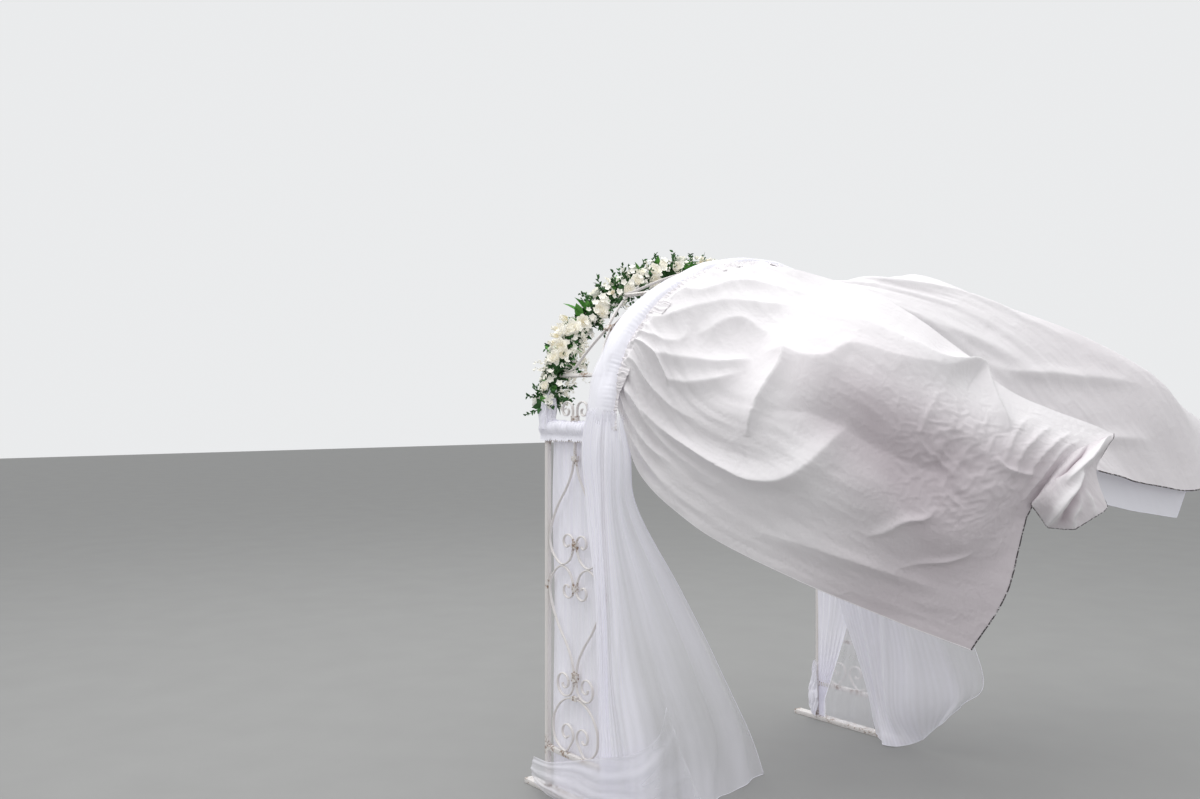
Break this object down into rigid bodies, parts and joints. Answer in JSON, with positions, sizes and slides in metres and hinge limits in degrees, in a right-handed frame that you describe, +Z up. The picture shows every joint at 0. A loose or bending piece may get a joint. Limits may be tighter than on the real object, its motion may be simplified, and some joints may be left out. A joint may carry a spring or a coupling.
{
  "type": "wedding arch canopy",
  "caption": "Wrought-iron wedding arch with scrollwork side panels, sheer curtains, a silk garland and two large cloth sheets that blow back from its rear arc.",
  "frame": {"origin": "middle of the underside of the right foot bar, on the ground", "axes": "+X to the right as seen from the garland side, +Y from the garland arc to the draped arc, +Z up"},
  "size_m": [2.8691, 1.6767, 2.232],
  "materials": {
    "white_paint": "satin white paint, worn at the edges and rusty at some joints",
    "sheet_cloth": "matt, thin white woven polyester",
    "tulle": "sheer white net",
    "silk_flowers": "matt cream and white cloth petals",
    "silk_leaves": "matt green cloth leaves"
  },
  "bodies": {
    "root": {"right_foot_bar": "white_paint", "right_front_post": "white_paint", "right_rear_post": "white_paint", "right_lower_rail": "white_paint", "right_top_rail": "white_paint", "right_arch_scrolls": "white_paint", "right_small_scrolls": "white_paint", "right_heart_scroll": "white_paint", "right_inverted_heart_scroll": "white_paint", "right_hook_scrolls": "white_paint", "right_panel_curtain": "tulle", "right_curtain_header": "tulle", "right_arc_header": "tulle", "right_garland": "silk_flowers", "left_foot_bar": "white_paint", "left_front_post": "white_paint", "left_rear_post": "white_paint", "left_lower_rail": "white_paint", "left_top_rail": "white_paint", "left_arch_scrolls": "white_paint", "left_small_scrolls": "white_paint", "left_heart_scroll": "white_paint", "left_inverted_heart_scroll": "white_paint", "left_hook_scrolls": "white_paint", "left_panel_curtain": "tulle", "left_curtain_header": "tulle", "left_arc_header": "tulle", "left_garland": "silk_flowers", "front_arc": "white_paint", "rear_arc": "white_paint", "arc_crossbar_1": "white_paint", "arc_crossbar_2": "white_paint", "arc_crossbar_3": "white_paint", "arc_crossbar_4": "white_paint", "arc_crossbar_5": "white_paint", "arc_scrolls_1": "white_paint", "arc_scrolls_2": "white_paint", "arc_scrolls_3": "white_paint", "arc_scrolls_4": "white_paint", "right_sheet": "sheet_cloth", "left_sheet": "sheet_cloth", "left_sheet_lining": "tulle", "right_side_curtain": "tulle", "left_side_curtain": "tulle", "right_base_swag": "tulle", "left_base_tie": "tulle"}
  },
  "joints": []
}
